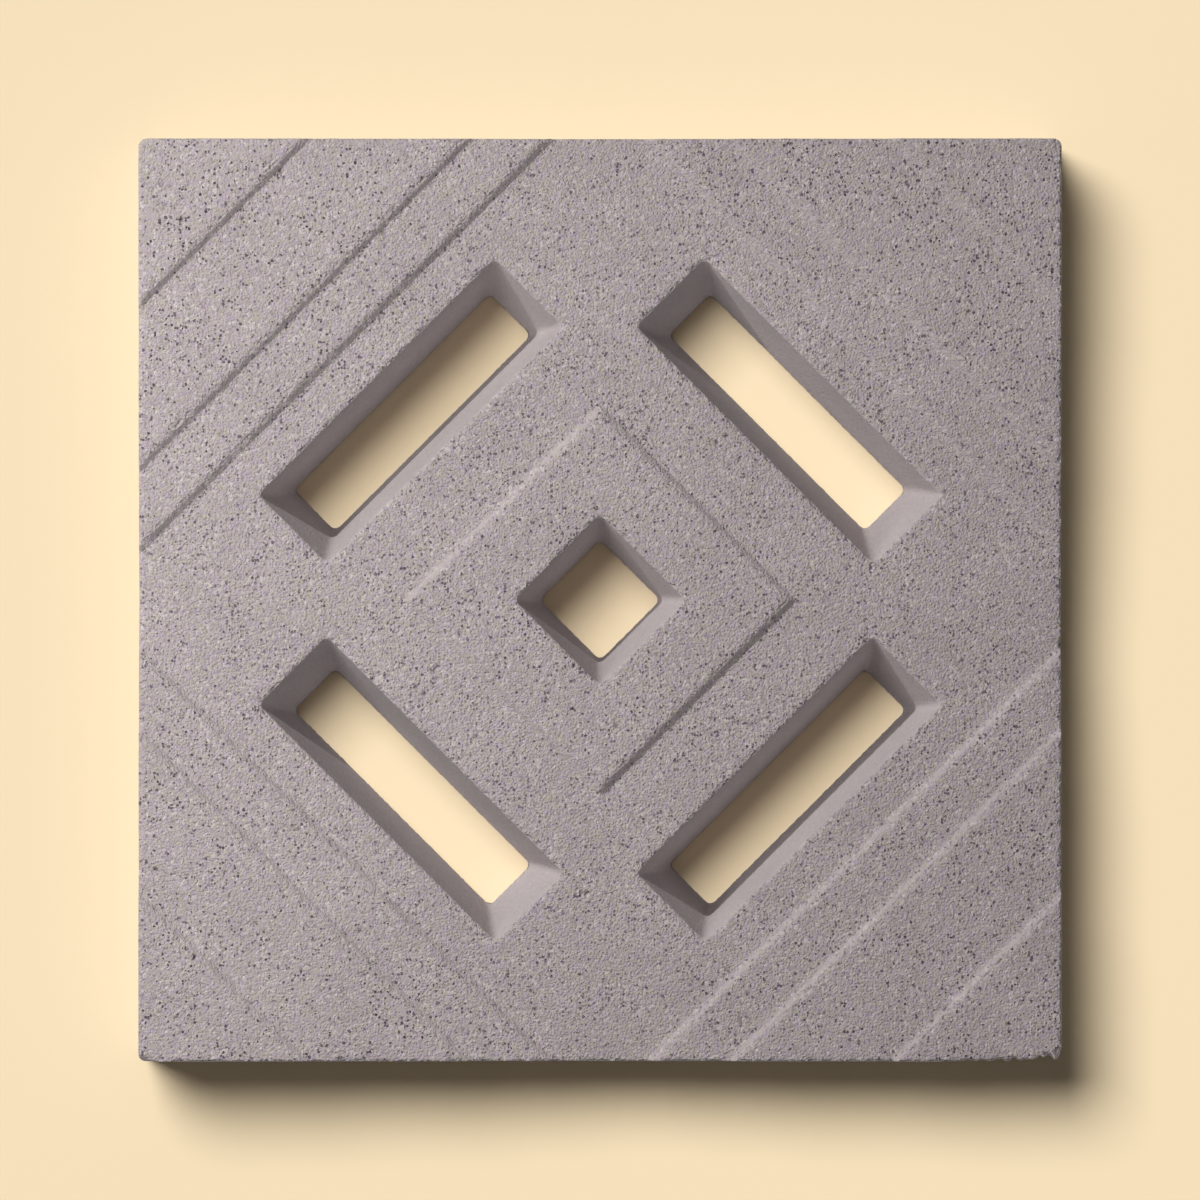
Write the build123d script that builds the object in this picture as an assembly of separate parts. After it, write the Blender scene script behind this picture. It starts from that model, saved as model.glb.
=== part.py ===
from build123d import *
from math import radians, sqrt, tan
import os

# A square stepping stone of sand-and-cement cast stone, made in one piece.
# It is cast face down in a mould, so every opening narrows towards the underside.
# A lozenge is pierced through a low raised lozenge at the centre. Four slots go through
# round it, one square to each diagonal, and each corner climbs away from them in steps.
# Millimetres and degrees. The origin is the centre of the underside, +Z is up, and the
# slab's sides lie along X and Y. "Across" is measured along a diagonal of the slab.

# Slab
SLAB_SIDE = 305.0
SLAB_THICKNESS = 38.0
OUTLINE_CORNER_RADIUS = 2.5

# Steps of the face
STEP_RISE = 2.0
RISER_SLOPE = 45.0
SLOT_TO_FIRST_STEP = 14.0
STEP_TREADS = [19.0, 38.0]

# Slots, sized at the face
SLOT_WIDTH = 32.0
SLOT_TO_SLAB_EDGE = 39.5
BRIDGE_BETWEEN_SLOTS = 24.0
SLOT_SIDE_DRAFT = 11.5
SLOT_END_DRAFT = 16.5

# Centre opening, sized at the top of the raised lozenge, across its flats
CENTRE_WIDTH = 40.0
CENTRE_RIM = 24.0
CENTRE_DRAFT = 10.0

# All openings
OPENING_CORNER_RADIUS = 2.0
CUT_OVERRUN = 5.0

# Levels of the face
STEP_COUNT = len(STEP_TREADS) + 1
floor_height = SLAB_THICKNESS - STEP_COUNT * STEP_RISE
centre_height = floor_height + STEP_RISE
riser_run = STEP_RISE / tan(radians(RISER_SLOPE))

# Places across the slab. A slot's outer corner keeps its distance from the slab's edge,
# and its inner corner keeps half a bridge from the middle line between two slots.
half_side = SLAB_SIDE / 2
slot_reach = sqrt(2) * (half_side - SLOT_TO_SLAB_EDGE)
slot_end_gap = BRIDGE_BETWEEN_SLOTS / sqrt(2)
slot_outer_side = (slot_reach + SLOT_WIDTH + slot_end_gap) / 2
slot_centre = slot_outer_side - SLOT_WIDTH / 2
slot_length = 2 * (slot_reach - slot_outer_side)
first_step = slot_outer_side + SLOT_TO_FIRST_STEP
slab_corner = sqrt(2) * half_side
centre_foot = CENTRE_WIDTH / 2 + CENTRE_RIM + riser_run

DIAGONALS = [45.0, 135.0, 225.0, 315.0]


def wedge_profile(plane, width, draft, height):
    """Section of an opening that is `width` wide at `height` and narrows downwards."""
    low, high = -CUT_OVERRUN, SLAB_THICKNESS + CUT_OVERRUN
    half_low = width / 2 + (low - height) * tan(radians(draft))
    half_high = width / 2 + (high - height) * tan(radians(draft))
    corners = [(-half_low, low), (half_low, low), (half_high, high), (-half_high, high)]
    return plane * make_face(Polyline(*corners, close=True))


def drafted_opening(width, length, side_draft, end_draft, height):
    """Core of the mould for one opening, with its stated size at `height`."""
    across = extrude(wedge_profile(Plane.XZ, width, side_draft, height), length, both=True)
    along = extrude(wedge_profile(Plane.YZ, length, end_draft, height), width, both=True)
    core = across & along
    corner_edges = [e for e in core.edges() if e.bounding_box().size.Z > SLAB_THICKNESS]
    return fillet(corner_edges, OPENING_CORNER_RADIUS)


def outline(height):
    """The slab's plan with its rounded corners, up to `height`."""
    return extrude(RectangleRounded(SLAB_SIDE, SLAB_SIDE, OUTLINE_CORNER_RADIUS), height)


def corner_stair():
    """The steps of one corner, as a long bar whose section runs out along +X."""
    points = [(first_step, 0.0), (first_step, floor_height)]
    foot, height = first_step, floor_height
    for tread in [*STEP_TREADS, slab_corner]:
        height += STEP_RISE
        points += [(foot + riser_run, height), (foot + tread, height)]
        foot += tread
    points.append((foot, 0.0))
    section = Plane.XZ * make_face(Polyline(*points, close=True))
    return extrude(section, SLAB_SIDE, both=True)


def raised_centre():
    """The low lozenge round the centre opening, with sloping sides."""
    foot = Plane.XY.offset(floor_height) * Rectangle(2 * centre_foot, 2 * centre_foot)
    return extrude(foot, STEP_RISE, taper=90.0 - RISER_SLOPE)


def relief_slab():
    """The slab with all its levels, before it is pierced."""
    slab = outline(floor_height) + Rot(0, 0, DIAGONALS[0]) * raised_centre()
    for angle in DIAGONALS:
        slab += (Rot(0, 0, angle) * corner_stair()) & outline(SLAB_THICKNESS)
    return slab


def stepping_stone():
    """The whole stone: the relief slab, pierced by the centre lozenge and four slots."""
    centre = drafted_opening(
        CENTRE_WIDTH, CENTRE_WIDTH, CENTRE_DRAFT, CENTRE_DRAFT, centre_height
    )
    slot = drafted_opening(
        SLOT_WIDTH, slot_length, SLOT_SIDE_DRAFT, SLOT_END_DRAFT, floor_height
    )
    stone = relief_slab() - Rot(0, 0, DIAGONALS[0]) * centre
    for angle in DIAGONALS:
        stone -= Rot(0, 0, angle) * Pos(slot_centre, 0, 0) * slot
    return stone


os.makedirs("parts", exist_ok=True)
export_step(stepping_stone(), "parts/stepping_stone.step")
print(f"slot {SLOT_WIDTH:.1f} x {slot_length:.1f} at the face, centre {slot_centre:.1f} out")
print(f"first step {first_step:.1f} out, slab corner {slab_corner:.1f} out")
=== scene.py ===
"""A square stepping stone of cast stone, pierced and stepped, lying face up on a pale floor.

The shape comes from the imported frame. This script breaks and wears its arrises, roughens and pits its
face as a sand-and-cement casting's, gives it its finish, and sets up the light and the camera.
"""

import logging
import math
from dataclasses import dataclass, field
from enum import Enum

import bpy
from bpy.types import Material, Node, NodeSocket, NodeTree, Object
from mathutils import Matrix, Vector

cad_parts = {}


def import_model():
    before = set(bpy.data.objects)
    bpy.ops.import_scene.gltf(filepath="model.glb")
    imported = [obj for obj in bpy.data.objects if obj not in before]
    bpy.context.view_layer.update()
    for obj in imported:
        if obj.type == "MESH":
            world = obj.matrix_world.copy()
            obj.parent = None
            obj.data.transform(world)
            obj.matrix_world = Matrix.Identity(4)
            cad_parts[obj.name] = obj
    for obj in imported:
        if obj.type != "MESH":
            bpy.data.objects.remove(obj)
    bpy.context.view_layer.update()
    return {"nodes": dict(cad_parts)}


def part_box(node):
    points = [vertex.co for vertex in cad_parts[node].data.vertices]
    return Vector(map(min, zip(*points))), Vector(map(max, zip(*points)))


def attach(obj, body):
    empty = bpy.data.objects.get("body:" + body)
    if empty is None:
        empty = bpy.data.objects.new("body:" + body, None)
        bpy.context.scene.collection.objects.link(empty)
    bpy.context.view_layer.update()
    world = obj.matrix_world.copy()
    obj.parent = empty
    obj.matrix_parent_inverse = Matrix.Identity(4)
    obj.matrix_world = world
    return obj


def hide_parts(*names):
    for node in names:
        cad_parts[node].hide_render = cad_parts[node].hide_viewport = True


MM = 0.001  # metres in a millimetre
STONE_NODE = "stepping_stone"
NOISE_SPREAD = 0.3  # how far a noise strays from its middle, which is a half
Colour = tuple[float, float, float, float]


class Zone(Enum):
    """Attributes of the casting's points that say where the finish changes, from 0 to 1."""

    SANDED = "sanded_surface"
    PATCH = "pitted_patch"
    CLOUD = "drying_cloud"


def linear(hex_colour: str) -> Colour:
    """Turns an sRGB hex colour into linear red, green, blue and alpha.

    Args:
        hex_colour: The colour as "#RRGGBB".

    Returns:
        The linear colour with an alpha of 1.
    """
    shares = [int(hex_colour[i : i + 2], 16) / 255 for i in (1, 3, 5)]
    red, green, blue = (
        share / 12.92 if share <= 0.04045 else ((share + 0.055) / 1.055) ** 2.4 for share in shares
    )
    return (red, green, blue, 1.0)


def add_node(
    tree: NodeTree, kind: str, settings: dict | None = None, inputs: dict | None = None
) -> Node:
    """Adds a node to a tree, sets its properties and fills its inputs.

    Args:
        tree: The tree of a material, a world, a light or a modifier.
        kind: The node's type name.
        settings: Values of the node's properties, by name.
        inputs: A value, or another node's output, for each input's name or number.

    Returns:
        The new node.
    """
    node = tree.nodes.new(kind)
    for name, value in (settings or {}).items():
        setattr(node, name, value)
    for key, value in (inputs or {}).items():
        if isinstance(value, NodeSocket):
            tree.links.new(value, node.inputs[key])
        else:
            node.inputs[key].default_value = value
    return node


def select_only(piece: Object) -> None:
    """Makes one object the only selected one, and the active one.

    Args:
        piece: The object that the next operators work on.
    """
    bpy.ops.object.select_all(action="DESELECT")
    piece.select_set(True)
    bpy.context.view_layer.objects.active = piece


@dataclass(frozen=True)
class Grit:
    """Roughness from grains of about one size. Lengths in millimetres."""

    grain: float
    detail: float = 2.0
    roughness: float = 0.5
    contrast: float = 1.0

    def height(self, tree: NodeTree, place: NodeSocket) -> NodeSocket:
        """Adds the nodes that give the grit's height, from 0 to 1 with a middle of a half.

        A wave of the noise is a grain and a gap, and so two grains long.

        Args:
            tree: The tree that gets the nodes.
            place: The point's place in millimetres.

        Returns:
            The output with the height.
        """
        noise = add_node(
            tree,
            "ShaderNodeTexNoise",
            inputs={
                "Vector": place,
                "Scale": 0.5 / self.grain,
                "Detail": self.detail,
                "Roughness": self.roughness,
            },
        )
        reach = NOISE_SPREAD / self.contrast
        height = add_node(
            tree,
            "ShaderNodeMapRange",
            inputs={"Value": noise.outputs["Fac"], "From Min": 0.5 - reach, "From Max": 0.5 + reach},
        )
        return height.outputs[0]


@dataclass(frozen=True)
class LooseGrains:
    """Grains packed side by side, some of which fell out and left pits. Lengths in millimetres.

    The share that fell out lies between `fewest` and `most`. `waver` and `waves` say how far the grains'
    outlines stray and how many waves there are to a grain, `pit_floor` is the flat share of a pit's
    radius, and `shallowest` is the depth of the shallowest pit as a share of the deepest one's.
    """

    spacing: float
    least_radius: float
    most_radius: float
    fewest: float
    most: float
    waver: float
    pit_floor: float
    shallowest: float
    waves: float = 1.1
    wave_detail: float = 0.0

    def cells(self, tree: NodeTree, place: NodeSocket) -> Node:
        """Adds the nodes that part the stone into wavy-edged grains.

        Args:
            tree: The tree that gets the nodes.
            place: The point's place in millimetres.

        Returns:
            The Voronoi node, with a grain's own random colour and the distance from its middle.
        """
        waves = add_node(
            tree,
            "ShaderNodeTexNoise",
            inputs={"Vector": place, "Scale": self.waves / self.spacing, "Detail": self.wave_detail},
        )
        centred = add_node(
            tree,
            "ShaderNodeVectorMath",
            {"operation": "SUBTRACT"},
            {0: waves.outputs["Color"], 1: (0.5, 0.5, 0.5)},
        )
        moved = add_node(
            tree,
            "ShaderNodeVectorMath",
            {"operation": "MULTIPLY_ADD"},
            {0: centred.outputs[0], 1: (self.waver * self.spacing,) * 3, 2: place},
        )
        return add_node(
            tree,
            "ShaderNodeTexVoronoi",
            inputs={"Vector": moved.outputs[0], "Scale": 1.0 / self.spacing},
        )

    def pits(self, tree: NodeTree, cells: Node, patch: NodeSocket) -> NodeSocket:
        """Adds the nodes that give 0 on the sound surface and 1 deep in a pit.

        Args:
            tree: The tree that gets the nodes.
            cells: The node that `cells` gave.
            patch: How pitted the stone is here, from 0 to 1.

        Returns:
            The output with how deep in a pit the point is.
        """
        chance = add_node(tree, "ShaderNodeSeparateXYZ", inputs={0: cells.outputs["Color"]})
        share = add_node(
            tree, "ShaderNodeMapRange", inputs={"Value": patch, "To Min": self.fewest, "To Max": self.most}
        )
        fell_out = add_node(
            tree,
            "ShaderNodeMath",
            {"operation": "LESS_THAN"},
            {0: chance.outputs[0], 1: share.outputs[0]},
        )
        rim = add_node(
            tree,
            "ShaderNodeMapRange",
            inputs={
                "Value": chance.outputs[1],
                "To Min": self.least_radius / self.spacing,
                "To Max": self.most_radius / self.spacing,
            },
        )
        bottom = add_node(
            tree, "ShaderNodeMath", {"operation": "MULTIPLY"}, {0: rim.outputs[0], 1: self.pit_floor}
        )
        deepest = add_node(
            tree,
            "ShaderNodeMapRange",
            inputs={"Value": chance.outputs[2], "To Min": self.shallowest, "To Max": 1.0},
        )
        sunk = add_node(
            tree,
            "ShaderNodeMath",
            {"operation": "MULTIPLY"},
            {0: fell_out.outputs[0], 1: deepest.outputs[0]},
        )
        depth = add_node(
            tree,
            "ShaderNodeMapRange",
            {"interpolation_type": "SMOOTHSTEP"},
            {
                "Value": cells.outputs["Distance"],
                "From Min": bottom.outputs[0],
                "From Max": rim.outputs[0],
                "To Min": sunk.outputs[0],
                "To Max": 0.0,
            },
        )
        return depth.outputs[0]


# The gravel's pits are the same in the casting's shape and in its finish, so that they meet.
GRAVEL = LooseGrains(
    spacing=4.2,
    least_radius=0.5,
    most_radius=1.2,
    fewest=0.02,
    most=0.26,
    waver=0.9,
    pit_floor=0.3,
    shallowest=0.55,
)
SAND = LooseGrains(
    spacing=0.95,
    least_radius=0.25,
    most_radius=0.68,
    fewest=0.04,
    most=0.36,
    waver=0.75,
    pit_floor=0.45,
    shallowest=0.25,
    wave_detail=1.0,
)


@dataclass(frozen=True)
class Chip:
    """A flake broken off one corner of the slab along a plane. Lengths in millimetres."""

    corner: tuple[int, int]
    along_x: float
    along_y: float
    down: float


@dataclass(frozen=True)
class CrumbledEdge:
    """A stretch of the slab's lower edge that crumbled away, most of it at one end.

    Lengths are in millimetres. `least_share` is how much of the loss there is even on the best-kept crumb,
    and `drawn_down` makes the crumbs long down the side.
    """

    corner: Vector
    length: float = 46.0
    worst_length: float = 11.0
    width: float = 8.0
    slight_loss: float = 1.7
    worst_loss: float = 2.0
    crumb: float = 1.2
    crumb_contrast: float = 2.5
    least_share: float = 0.15
    drawn_down: float = 0.12

    def inward(self, tree: NodeTree, place: NodeSocket) -> NodeSocket:
        """Adds the nodes that give how far each point near the edge moves inwards.

        Args:
            tree: The tree that gets the nodes.
            place: The point's place in millimetres.

        Returns:
            The output with the move, as a vector in millimetres.
        """
        from_corner = add_node(
            tree, "ShaderNodeVectorMath", {"operation": "SUBTRACT"}, {0: self.corner, 1: place}
        )
        apart = add_node(tree, "ShaderNodeSeparateXYZ", inputs={0: from_corner.outputs[0]})
        along, across = apart.outputs[0], apart.outputs[1]
        slight = add_node(
            tree,
            "ShaderNodeMapRange",
            {"interpolation_type": "SMOOTHSTEP"},
            {"Value": along, "From Min": self.length, "From Max": 0.0, "To Max": self.slight_loss},
        )
        worst = add_node(
            tree,
            "ShaderNodeMapRange",
            {"interpolation_type": "SMOOTHSTEP"},
            {"Value": along, "From Min": self.worst_length, "From Max": 0.0, "To Max": self.worst_loss},
        )
        most = add_node(
            tree, "ShaderNodeMath", {"operation": "ADD"}, {0: slight.outputs[0], 1: worst.outputs[0]}
        )
        near = add_node(
            tree,
            "ShaderNodeMapRange",
            {"interpolation_type": "SMOOTHSTEP"},
            {"Value": across, "From Min": -self.width, "From Max": 0.0},
        )
        drawn = add_node(
            tree,
            "ShaderNodeVectorMath",
            {"operation": "MULTIPLY"},
            {0: place, 1: (1.0, 1.0, self.drawn_down)},
        )
        crumbs = add_node(
            tree,
            "ShaderNodeMapRange",
            inputs={
                "Value": Grit(self.crumb, contrast=self.crumb_contrast).height(tree, drawn.outputs[0]),
                "To Min": self.least_share,
            },
        )
        loss = most.outputs[0]
        for share in (near, crumbs):
            less = add_node(
                tree, "ShaderNodeMath", {"operation": "MULTIPLY"}, {0: loss, 1: share.outputs[0]}
            )
            loss = less.outputs[0]
        move = add_node(tree, "ShaderNodeCombineXYZ", inputs={"Y": loss})
        return move.outputs[0]


@dataclass
class Casting:
    """The stone itself: the CAD shape with its breaks, worn arrises and sanded, pitted face.

    Lengths are in millimetres. Each `Grit` is a pattern of the surface, and the lengths beside it say how
    deep it goes. A pair of numbers says where something begins and where it is full: a pattern's heights,
    how much the surface faces up, from -1 to 1, or how far an arris stands out. The evenings count the
    steps in which neighbouring points are evened out. `most_rounding` is a share of the way to the
    evened-out surface, and `ragged_chance` is what the ragged corner adds to the height of the nicks'
    pattern.
    """

    node: Object
    voxel: float = 0.55
    rough_voxel: float = 0.8
    most_triangles: int = 196_000
    chips: list[Chip] = field(
        default_factory=lambda: [
            Chip((1, -1), along_x=3.0, along_y=3.0, down=4.0),
            Chip((-1, -1), along_x=6.0, along_y=2.5, down=5.0),
            Chip((1, 1), along_x=2.5, along_y=2.5, down=3.0),
            Chip((-1, 1), along_x=2.5, along_y=3.0, down=3.0),
        ]
    )
    ragged_corner: tuple[int, int] = (1, -1)
    ragged_reach: float = 48.0
    ragged_middle: float = 14.4
    ragged_chance: float = 0.2
    skin: float = 0.02
    rounding: Grit = Grit(grain=3.5)
    rounding_heights: tuple[float, float] = (0.35, 0.8)
    most_rounding: float = 0.45
    nicks: Grit = Grit(grain=1.6)
    nick_heights: tuple[float, float] = (0.56, 0.8)
    nick_depth: float = 1.2
    face_grain: Grit = Grit(grain=0.75, detail=1.0)
    face_grain_depth: float = 0.16
    wall_grain_depth: float = 0.08
    arris_teeth: Grit = Grit(grain=0.9, detail=1.0, contrast=1.5)
    tooth_heights: tuple[float, float] = (0.3, 1.0)
    tooth_depth: float = 1.25
    undulation: Grit = Grit(grain=9.0, detail=1.0)
    undulation_depth: float = 0.12
    face_pit_depth: float = 0.9
    wall_pit_depth: float = 0.1
    pitted_patches: Grit = Grit(grain=7.0, detail=1.0, contrast=1.6)
    drying_clouds: Grit = Grit(grain=14.0, detail=1.0)
    face_tilts: tuple[float, float] = (0.55, 0.9)
    bed_tilts: tuple[float, float] = (-0.95, -0.6)
    arris_stands_out: tuple[float, float] = (0.02, 0.25)
    tilt_evenings: int = 2
    arris_evenings: int = 4
    loss_evenings: int = 4

    def corner(self, side_x: int, side_y: int) -> Vector:
        """Gives the place of one corner of the slab's face, in metres."""
        low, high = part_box(STONE_NODE)
        return Vector((high.x if side_x > 0 else low.x, high.y if side_y > 0 else low.y, high.z))

    def copy_of_node(self) -> Object:
        """Copies the CAD node's mesh into a new object and merges its loose triangles.

        Returns:
            The new object.
        """
        piece = bpy.data.objects.new("cast_stone_slab", self.node.data.copy())
        bpy.context.scene.collection.objects.link(piece)
        select_only(piece)
        bpy.ops.object.mode_set(mode="EDIT")
        bpy.ops.mesh.select_all(action="SELECT")
        bpy.ops.mesh.remove_doubles(threshold=0.001 * MM)
        bpy.ops.object.mode_set(mode="OBJECT")
        return piece

    def break_corners(self, piece: Object) -> None:
        """Cuts each chip's flake off with a plane and closes the break.

        Args:
            piece: The closed mesh that loses its corners.
        """
        select_only(piece)
        bpy.ops.object.mode_set(mode="EDIT")
        for chip in self.chips:
            side_x, side_y = chip.corner
            normal = Vector((side_x / chip.along_x, side_y / chip.along_y, 1.0 / chip.down))
            bpy.ops.mesh.select_all(action="SELECT")
            bpy.ops.mesh.bisect(
                plane_co=self.corner(side_x, side_y) - Vector((0.0, 0.0, chip.down * MM)),
                plane_no=normal.normalized(),
                use_fill=True,
                clear_outer=True,
            )
        bpy.ops.object.mode_set(mode="OBJECT")

    def even_mesh(self, piece: Object) -> None:
        """Remeshes the shape with small even faces, which the wear then moves.

        Args:
            piece: The closed mesh to remesh.
        """
        select_only(piece)
        piece.data.remesh_voxel_size = self.voxel * MM
        bpy.ops.object.voxel_remesh()

    def worn_away(
        self, tree: NodeTree, place: NodeSocket, sink: NodeSocket, arris: NodeSocket
    ) -> tuple[NodeSocket, NodeSocket]:
        """Adds the nodes that round the arrises unevenly and nick them.

        Args:
            tree: The tree that gets the nodes.
            place: The point's place in millimetres.
            sink: How far the evened-out surface lies inside the sharp one, as a vector.
            arris: Where the arrises are, from 0 to 1.

        Returns:
            The output with the rounding, as a vector, and the one with the nicks' depth.
        """
        wear = add_node(
            tree,
            "ShaderNodeMapRange",
            inputs={
                "Value": self.rounding.height(tree, place),
                "From Min": self.rounding_heights[0],
                "From Max": self.rounding_heights[1],
                "To Max": self.most_rounding,
            },
        )
        rounded = add_node(
            tree, "ShaderNodeVectorMath", {"operation": "SCALE"}, {0: sink, "Scale": wear.outputs[0]}
        )
        to_corner = add_node(
            tree,
            "ShaderNodeVectorMath",
            {"operation": "DISTANCE"},
            {0: place, 1: self.corner(*self.ragged_corner) / MM},
        )
        more = add_node(
            tree,
            "ShaderNodeMapRange",
            inputs={
                "Value": to_corner.outputs["Value"],
                "From Min": self.ragged_reach,
                "From Max": self.ragged_middle,
                "To Max": self.ragged_chance,
            },
        )
        chance = add_node(
            tree,
            "ShaderNodeMath",
            {"operation": "ADD"},
            {0: more.outputs[0], 1: self.nicks.height(tree, place)},
        )
        nick = add_node(
            tree,
            "ShaderNodeMapRange",
            {"interpolation_type": "SMOOTHSTEP"},
            {
                "Value": chance.outputs[0],
                "From Min": self.nick_heights[0],
                "From Max": self.nick_heights[1],
                "To Max": self.nick_depth,
            },
        )
        nicks = add_node(
            tree, "ShaderNodeMath", {"operation": "MULTIPLY"}, {0: nick.outputs[0], 1: arris}
        )
        return rounded.outputs[0], nicks.outputs[0]

    def sanded_away(
        self,
        tree: NodeTree,
        place: NodeSocket,
        face: NodeSocket,
        arris: NodeSocket,
        above: NodeSocket,
        patch: NodeSocket,
    ) -> NodeSocket:
        """Adds the nodes for the depth of the sand's grain, the undulation and the gravel's pits.

        All of it goes inwards, so that the stone stays inside its size. The bed that it lies on stays
        flat, and only loses the skin.

        Args:
            tree: The tree that gets the nodes.
            place: The point's place in millimetres.
            face: Where the sanded face is, from 0 to 1.
            arris: Where the arrises are, from 0 to 1.
            above: 0 on the bed and 1 on the rest.
            patch: How pitted the stone is here, from 0 to 1.

        Returns:
            The output with the depth.
        """
        grain_depth, pit_depth = (
            add_node(
                tree, "ShaderNodeMapRange", inputs={"Value": face, "To Min": on_walls, "To Max": on_face}
            ).outputs[0]
            for on_walls, on_face in (
                (self.wall_grain_depth, self.face_grain_depth),
                (self.wall_pit_depth, self.face_pit_depth),
            )
        )
        teeth = add_node(
            tree,
            "ShaderNodeMapRange",
            inputs={
                "Value": self.arris_teeth.height(tree, place),
                "From Min": self.tooth_heights[0],
                "From Max": self.tooth_heights[1],
                "To Max": self.tooth_depth,
            },
        )
        layers = [
            (self.face_grain.height(tree, place), grain_depth),
            (teeth.outputs[0], arris),
            (self.undulation.height(tree, place), self.undulation_depth),
            (GRAVEL.pits(tree, GRAVEL.cells(tree, place), patch), pit_depth),
        ]
        depth = 0.0
        for height, reach in layers:
            added = add_node(
                tree, "ShaderNodeMath", {"operation": "MULTIPLY_ADD"}, {0: height, 1: reach, 2: depth}
            )
            depth = added.outputs[0]
        kept_flat = add_node(
            tree, "ShaderNodeMath", {"operation": "MULTIPLY_ADD"}, {0: depth, 1: above, 2: self.skin}
        )
        return kept_flat.outputs[0]

    def wear_nodes(self) -> NodeTree:
        """Makes the Geometry Nodes tree that wears the arrises and roughens the surface.

        Returns:
            The tree, for a Nodes modifier.
        """
        tree = bpy.data.node_groups.new("wear_and_grain", "GeometryNodeTree")
        tree.interface.new_socket("Geometry", in_out="INPUT", socket_type="NodeSocketGeometry")
        tree.interface.new_socket("Geometry", in_out="OUTPUT", socket_type="NodeSocketGeometry")
        shape = add_node(tree, "NodeGroupInput")
        position = add_node(tree, "GeometryNodeInputPosition")
        normal = add_node(tree, "GeometryNodeInputNormal")
        place = add_node(
            tree,
            "ShaderNodeVectorMath",
            {"operation": "SCALE"},
            {0: position.outputs[0], "Scale": 1.0 / MM},
        ).outputs[0]

        # How much the surface faces up, evened out over a few faces
        even_normal = add_node(
            tree,
            "GeometryNodeBlurAttribute",
            {"data_type": "FLOAT_VECTOR"},
            {"Value": normal.outputs[0], "Iterations": self.tilt_evenings},
        )
        up = add_node(tree, "ShaderNodeSeparateXYZ", inputs={0: even_normal.outputs[0]}).outputs[2]
        face = add_node(
            tree,
            "ShaderNodeMapRange",
            {"interpolation_type": "SMOOTHSTEP"},
            {"Value": up, "From Min": self.face_tilts[0], "From Max": self.face_tilts[1]},
        ).outputs[0]
        above = add_node(
            tree,
            "ShaderNodeMapRange",
            inputs={"Value": up, "From Min": self.bed_tilts[0], "From Max": self.bed_tilts[1]},
        ).outputs[0]

        # An arris is where the evened-out surface lies well inside the sharp one
        even_place = add_node(
            tree,
            "GeometryNodeBlurAttribute",
            {"data_type": "FLOAT_VECTOR"},
            {"Value": place, "Iterations": self.arris_evenings},
        )
        sink = add_node(
            tree, "ShaderNodeVectorMath", {"operation": "SUBTRACT"}, {0: place, 1: even_place.outputs[0]}
        ).outputs[0]
        outward = add_node(
            tree, "ShaderNodeVectorMath", {"operation": "DOT_PRODUCT"}, {0: sink, 1: normal.outputs[0]}
        )
        arris = add_node(
            tree,
            "ShaderNodeMapRange",
            inputs={
                "Value": outward.outputs["Value"],
                "From Min": self.arris_stands_out[0],
                "From Max": self.arris_stands_out[1],
            },
        ).outputs[0]

        rounded, nicks = self.worn_away(tree, place, sink, arris)
        patch = self.pitted_patches.height(tree, place)
        sanded = self.sanded_away(tree, place, face, arris, above, patch)
        depth = add_node(tree, "ShaderNodeMath", {"operation": "ADD"}, {0: nicks, 1: sanded})
        # Neighbouring points move nearly alike, so that an arris is notched and not folded
        outwards = add_node(
            tree,
            "GeometryNodeBlurAttribute",
            {"data_type": "FLOAT_VECTOR"},
            {"Value": normal.outputs[0], "Iterations": self.loss_evenings},
        )
        sunk = add_node(
            tree,
            "ShaderNodeVectorMath",
            {"operation": "SCALE"},
            {0: outwards.outputs[0], "Scale": depth.outputs[0]},
        )
        loss = add_node(
            tree, "ShaderNodeVectorMath", {"operation": "ADD"}, {0: rounded, 1: sunk.outputs[0]}
        )
        crumbled = CrumbledEdge(self.corner(*self.ragged_corner) / MM).inward(tree, place)
        change = add_node(
            tree, "ShaderNodeVectorMath", {"operation": "SUBTRACT"}, {0: crumbled, 1: loss.outputs[0]}
        )
        offset = add_node(
            tree, "ShaderNodeVectorMath", {"operation": "SCALE"}, {0: change.outputs[0], "Scale": MM}
        )

        sanded_zone = add_node(tree, "ShaderNodeMath", {"operation": "MAXIMUM"}, {0: face, 1: arris})
        cloud = self.drying_clouds.height(tree, place)
        zones = {Zone.SANDED: sanded_zone.outputs[0], Zone.PATCH: patch, Zone.CLOUD: cloud}
        geometry = shape.outputs[0]
        for zone, value in zones.items():
            stored = add_node(
                tree,
                "GeometryNodeStoreNamedAttribute",
                {"data_type": "FLOAT", "domain": "POINT"},
                {"Geometry": geometry, "Name": zone.value, "Value": value},
            )
            geometry = stored.outputs[0]
        moved = add_node(
            tree, "GeometryNodeSetPosition", inputs={"Geometry": geometry, "Offset": offset.outputs[0]}
        )
        add_node(tree, "NodeGroupOutput", inputs={0: moved.outputs[0]})
        return tree

    def weather(self, piece: Object) -> None:
        """Wears and roughens the mesh, and applies the result.

        Args:
            piece: The evenly meshed stone.
        """
        select_only(piece)
        wear = piece.modifiers.new("wear_and_grain", "NODES")
        wear.node_group = self.wear_nodes()
        bpy.ops.object.modifier_apply(modifier=wear.name)

    def thin_out(self, piece: Object) -> None:
        """Takes triangles away where the surface is plain, down to the most that the piece may have.

        Args:
            piece: The weathered stone.
        """
        select_only(piece)
        thinned = piece.modifiers.new("thin_out", "DECIMATE")
        thinned.ratio = self.most_triangles / (2 * len(piece.data.polygons))
        bpy.ops.object.modifier_apply(modifier=thinned.name)
        bpy.ops.object.shade_smooth()

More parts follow.
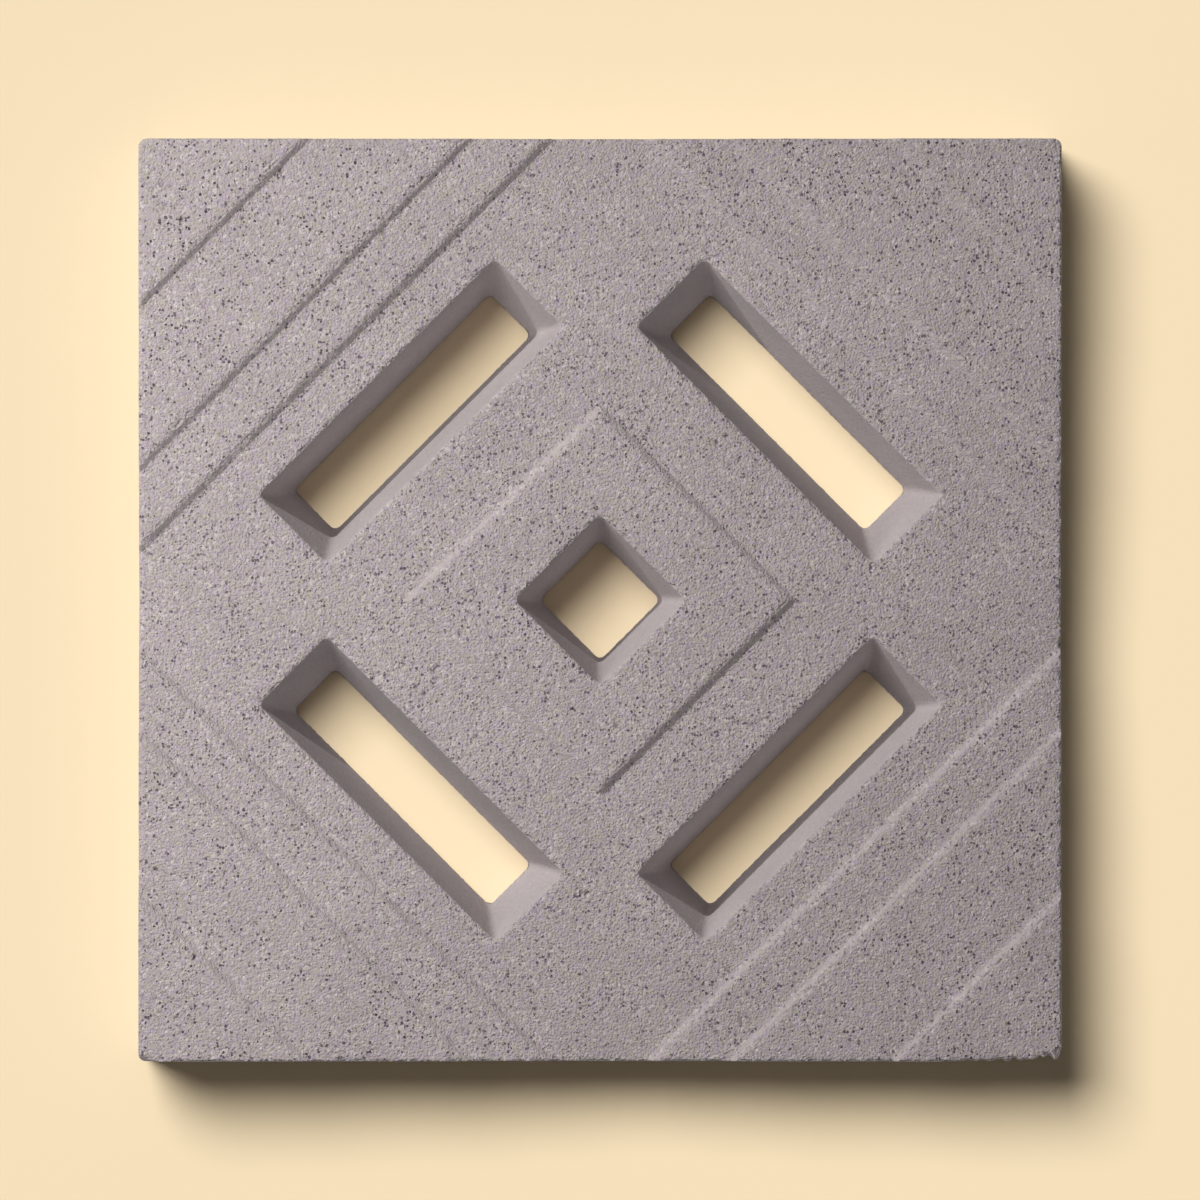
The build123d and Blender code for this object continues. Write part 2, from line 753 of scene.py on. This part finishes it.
    def build(self) -> Object:
        """Makes the finished casting.

        Returns:
            The stone's object, at the origin, with its place in its mesh.
        """
        piece = self.copy_of_node()
        self.break_corners(piece)
        self.even_mesh(piece)
        self.weather(piece)
        self.thin_out(piece)
        return piece


@dataclass(frozen=True)
class CastStone:
    """Sand-and-cement cast stone, face down in a mould and lightly washed when green.

    The wash leaves sharp sand standing on the face, with pits where grains fell out; the pits get a dark
    painted shade that stands in for the shade falling in them. The walls of the openings keep the mould's
    smoother skin. It is dry and matt, and a warm grey with a touch of lilac.
    Lengths are in millimetres. The other numbers are shares, from 0 to 1, and `grain_radius` is one of
    the grains' spacing.
    """

    violet_paste: str = "#B9A9B5"
    green_paste: str = "#B8AFA4"
    pale_grain: str = "#DAD2CE"
    dark_grain: str = "#857A7D"
    # Painted shade: the pits' colour, dark to stand in for the shade that falls in them
    pit: str = "#3A3039"
    wall: str = "#BAB1B0"
    roughness: float = 0.94
    pale_grains: float = 0.22
    palest: float = 0.65
    dark_grains: float = 0.2
    darkest: float = 0.5
    wall_skin: float = 0.7
    # How much of the pits' painted shade shows on the walls of the openings
    wall_pit_shade: float = 0.15
    cloudiness: float = 0.06
    grain_radius: float = 0.7
    grain_height: float = 0.2
    grit: Grit = Grit(grain=0.4, detail=1.0)
    grit_height: float = 0.3
    pit_depth: float = 0.6
    wall_relief: float = 0.4

    def colour(self, tree: NodeTree, place: NodeSocket, cells: Node, small_pits: NodeSocket) -> NodeSocket:
        """Adds the nodes for the colour of grains and paste, and the painted shade in the pits.

        Args:
            tree: The material's tree.
            place: The point's place in millimetres.
            cells: The sand's grains.
            small_pits: How deep in one of the sand's pits the point is.

        Returns:
            The output with the colour.
        """
        zones = {
            zone: add_node(tree, "ShaderNodeAttribute", {"attribute_name": zone.value}).outputs["Fac"]
            for zone in Zone
        }
        pick = add_node(tree, "ShaderNodeSeparateXYZ", inputs={0: cells.outputs["Color"]})
        pale = add_node(
            tree,
            "ShaderNodeMapRange",
            inputs={"Value": pick.outputs[2], "From Min": 1.0 - self.pale_grains, "To Max": self.palest},
        )
        dark = add_node(
            tree,
            "ShaderNodeMapRange",
            inputs={
                "Value": pick.outputs[2],
                "From Min": self.dark_grains,
                "From Max": 0.0,
                "To Max": self.darkest,
            },
        )
        skinned = add_node(
            tree,
            "ShaderNodeMapRange",
            inputs={"Value": zones[Zone.SANDED], "To Min": self.wall_skin, "To Max": 0.0},
        )
        # Painted shade in the pits, darkest at their bottoms and weaker on the walls of the openings
        large_pits = GRAVEL.pits(tree, GRAVEL.cells(tree, place), zones[Zone.PATCH])
        any_pit = add_node(tree, "ShaderNodeMath", {"operation": "MAXIMUM"}, {0: small_pits, 1: large_pits})
        pitted = add_node(
            tree, "ShaderNodeMapRange", inputs={"Value": zones[Zone.SANDED], "To Min": self.wall_pit_shade}
        )
        painted_pit_shade = add_node(
            tree, "ShaderNodeMath", {"operation": "MULTIPLY"}, {0: any_pit.outputs[0], 1: pitted.outputs[0]}
        )
        coats = [
            (pick.outputs[1], self.violet_paste),
            (pale.outputs[0], self.pale_grain),
            (dark.outputs[0], self.dark_grain),
            (skinned.outputs[0], self.wall),
            (painted_pit_shade.outputs[0], self.pit),
        ]
        colour = linear(self.green_paste)
        for share, coat in coats:
            mixed = add_node(
                tree,
                "ShaderNodeMix",
                {"data_type": "RGBA"},
                {"Factor": share, "A": colour, "B": linear(coat)},
            )
            colour = mixed.outputs["Result"]

        # Broad clouds of tone from uneven drying
        tone = add_node(
            tree,
            "ShaderNodeMapRange",
            inputs={
                "Value": zones[Zone.CLOUD],
                "To Min": 1.0 - self.cloudiness,
                "To Max": 1.0 + self.cloudiness,
            },
        )
        toned = add_node(
            tree, "ShaderNodeVectorMath", {"operation": "SCALE"}, {0: colour, "Scale": tone.outputs[0]}
        )
        return toned.outputs[0]

    def relief(self, tree: NodeTree, place: NodeSocket, cells: Node, small_pits: NodeSocket) -> NodeSocket:
        """Adds the nodes for the relief that is too fine for the mesh, in millimetres.

        Args:
            tree: The material's tree.
            place: The point's place in millimetres.
            cells: The sand's grains.
            small_pits: How deep in one of the sand's pits the point is.

        Returns:
            The output with the height.
        """
        dome = add_node(
            tree,
            "ShaderNodeMapRange",
            {"interpolation_type": "SMOOTHSTEP"},
            {
                "Value": cells.outputs["Distance"],
                "From Max": self.grain_radius,
                "To Min": self.grain_height,
                "To Max": 0.0,
            },
        )
        with_fine = add_node(
            tree,
            "ShaderNodeMath",
            {"operation": "MULTIPLY_ADD"},
            {0: self.grit.height(tree, place), 1: self.grit_height, 2: dome.outputs[0]},
        )
        with_pits = add_node(
            tree,
            "ShaderNodeMath",
            {"operation": "MULTIPLY_ADD"},
            {0: small_pits, 1: -self.pit_depth, 2: with_fine.outputs[0]},
        )
        return with_pits.outputs[0]

    def material(self) -> Material:
        """Makes the material.

        Returns:
            The material, with its patterns in millimetres of the object's own coordinates.
        """
        made = bpy.data.materials.new("washed_cast_stone")
        made.use_nodes = True
        tree = made.node_tree
        tree.nodes.clear()
        coords = add_node(tree, "ShaderNodeTexCoord")
        place = add_node(
            tree,
            "ShaderNodeVectorMath",
            {"operation": "SCALE"},
            {0: coords.outputs["Object"], "Scale": 1.0 / MM},
        ).outputs[0]
        sanded = add_node(tree, "ShaderNodeAttribute", {"attribute_name": Zone.SANDED.value})
        patch = add_node(tree, "ShaderNodeAttribute", {"attribute_name": Zone.PATCH.value})
        cells = SAND.cells(tree, place)
        small_pits = SAND.pits(tree, cells, patch.outputs["Fac"])
        strength = add_node(
            tree, "ShaderNodeMapRange", inputs={"Value": sanded.outputs["Fac"], "To Min": self.wall_relief}
        )
        bump = add_node(
            tree,
            "ShaderNodeBump",
            inputs={
                "Height": self.relief(tree, place, cells, small_pits),
                "Distance": MM,
                "Strength": strength.outputs[0],
            },
        )
        surface = add_node(
            tree,
            "ShaderNodeBsdfPrincipled",
            inputs={
                "Base Color": self.colour(tree, place, cells, small_pits),
                "Roughness": self.roughness,
                "Normal": bump.outputs["Normal"],
            },
        )
        add_node(tree, "ShaderNodeOutputMaterial", inputs={"Surface": surface.outputs[0]})
        return made


@dataclass(frozen=True)
class PaperFloor:
    """Plain cream paper board, matt and slightly warm.

    The camera sees the cream, and the stone gets the light that a neutral board would throw on it.
    """

    cream: str = "#F6E1BC"
    thrown: str = "#BDBAB6"

    def material(self) -> Material:
        """Makes the material.

        Returns:
            The floor's material.
        """
        made = bpy.data.materials.new("cream_paper")
        made.use_nodes = True
        tree = made.node_tree
        tree.nodes.clear()
        path = add_node(tree, "ShaderNodeLightPath")
        colour = add_node(
            tree,
            "ShaderNodeMix",
            {"data_type": "RGBA"},
            {"Factor": path.outputs["Is Camera Ray"], "A": linear(self.thrown), "B": linear(self.cream)},
        )
        surface = add_node(tree, "ShaderNodeBsdfDiffuse", inputs={"Color": colour.outputs["Result"]})
        add_node(tree, "ShaderNodeOutputMaterial", inputs={"Surface": surface.outputs[0]})
        return made


class LampKind(Enum):
    """How a lamp's light fades: a near lamp's with distance, and a far lamp's not at all."""

    NEAR = "AREA"
    FAR = "SUN"


@dataclass(frozen=True)
class Lamp:
    """A round lamp that looks at the stone. Lengths in metres, angles in degrees.

    A level of 1 lights a level surface so that its colour renders as it is written.
    """

    name: str
    kind: LampKind
    azimuth: float
    elevation: float
    distance: float
    width: float
    level: float

    def hang(self, lit: Object) -> None:
        """Adds the lamp and has it light one object.

        Args:
            lit: The only object that its light falls on.
        """
        turn, rise = math.radians(self.azimuth), math.radians(self.elevation)
        towards = Vector(
            (math.cos(turn) * math.cos(rise), math.sin(turn) * math.cos(rise), math.sin(rise))
        )
        data = bpy.data.lights.new(self.name, self.kind.value)
        if self.kind is LampKind.NEAR:
            data.shape = "DISK"
            data.size = self.width
            data.energy = self.level * math.pi**2 * self.distance**2 / math.sin(rise)
        else:
            data.angle = 2.0 * math.atan(0.5 * self.width / self.distance)
            data.energy = self.level * math.pi / math.sin(rise)
        lamp = bpy.data.objects.new(self.name, data)
        lamp.location = towards * self.distance
        lamp.rotation_mode = "QUATERNION"
        lamp.rotation_quaternion = towards.to_track_quat("Z", "Y")
        bpy.context.scene.collection.objects.link(lamp)
        receivers = bpy.data.collections.new(f"lit_by_{self.name}")
        receivers.objects.link(lit)
        lamp.light_linking.receiver_collection = receivers


@dataclass
class Studio:
    """The floor, the lamps and the sky of a plain studio. Lengths in metres, angles in degrees."""

    stone: Object
    floor_side: float = 12.0
    sky_level: float = 0.08
    sky_shown: float = 0.92
    stone_lamps: tuple[Lamp, ...] = (
        Lamp("key_on_stone", LampKind.NEAR, 135.0, 39.0, distance=1.7, width=0.062, level=0.385),
        Lamp("fill_on_stone", LampKind.NEAR, 176.0, 52.0, distance=0.5, width=0.34, level=0.29),
        Lamp("bounce_on_stone", LampKind.NEAR, 315.0, 45.0, distance=2.5, width=1.8, level=0.08),
    )
    floor_lamps: tuple[Lamp, ...] = (
        Lamp("key_on_floor", LampKind.FAR, 128.5, 54.5, distance=2.0, width=1.2, level=0.91),
    )

    def lay_floor(self) -> Object:
        """Lays the floor under the stone.

        Returns:
            The floor's object.
        """
        bpy.ops.mesh.primitive_plane_add(size=self.floor_side)
        floor = bpy.context.active_object
        floor.name = "studio_floor"
        floor.data.materials.append(PaperFloor().material())
        return floor

    def set_sky(self) -> None:
        """Sets a pale sky, which lights weakly and shows nearly white."""
        world = bpy.data.worlds.new("studio_sky")
        bpy.context.scene.world = world
        world.use_nodes = True
        tree = world.node_tree
        tree.nodes.clear()
        path = add_node(tree, "ShaderNodeLightPath")
        seen = path.outputs["Is Camera Ray"]
        for ray in ("Is Glossy Ray", "Is Transmission Ray"):
            either = add_node(
                tree, "ShaderNodeMath", {"operation": "MAXIMUM"}, {0: seen, 1: path.outputs[ray]}
            )
            seen = either.outputs[0]
        strength = add_node(
            tree,
            "ShaderNodeMapRange",
            inputs={"Value": seen, "To Min": self.sky_level, "To Max": self.sky_shown},
        )
        sky = add_node(
            tree,
            "ShaderNodeBackground",
            inputs={"Color": linear("#FFFFFF"), "Strength": strength.outputs[0]},
        )
        add_node(tree, "ShaderNodeOutputWorld", inputs={"Surface": sky.outputs[0]})

    def build(self) -> None:
        """Lays the floor, hangs the lamps and sets the sky."""
        floor = self.lay_floor()
        for lamp in self.stone_lamps:
            lamp.hang(self.stone)
        for lamp in self.floor_lamps:
            lamp.hang(floor)
        self.set_sky()


@dataclass
class OverheadCamera:
    """A camera far above the stone, which looks straight down. Lengths in metres."""

    view_width: float = 0.3965
    height: float = 3.6
    sensor: float = 0.036
    face_height: float = 0.034

    def stand(self) -> None:
        """Adds the camera and makes it the scene's."""
        data = bpy.data.cameras.new("overhead_camera")
        data.sensor_width = self.sensor / MM
        data.lens = self.sensor / MM * (self.height - self.face_height) / self.view_width
        data.clip_end = 2.0 * self.height
        camera = bpy.data.objects.new("overhead_camera", data)
        camera.location = (0.0, 0.0, self.height)
        bpy.context.scene.collection.objects.link(camera)
        bpy.context.scene.camera = camera


def main() -> None:
    logging.basicConfig(level=logging.INFO, format="%(message)s")
    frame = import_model()

    stone = Casting(frame["nodes"][STONE_NODE]).build()
    stone.data.materials.clear()
    stone.data.materials.append(CastStone().material())
    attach(stone, "root")
    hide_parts(STONE_NODE)
    stone.data.calc_loop_triangles()
    logging.info("%s: %d triangles", stone.name, len(stone.data.loop_triangles))

    Studio(stone).build()
    OverheadCamera().stand()
    bpy.context.scene.view_settings.view_transform = "Standard"

    bpy.context.view_layer.update()


if __name__ == "__main__":
    main()
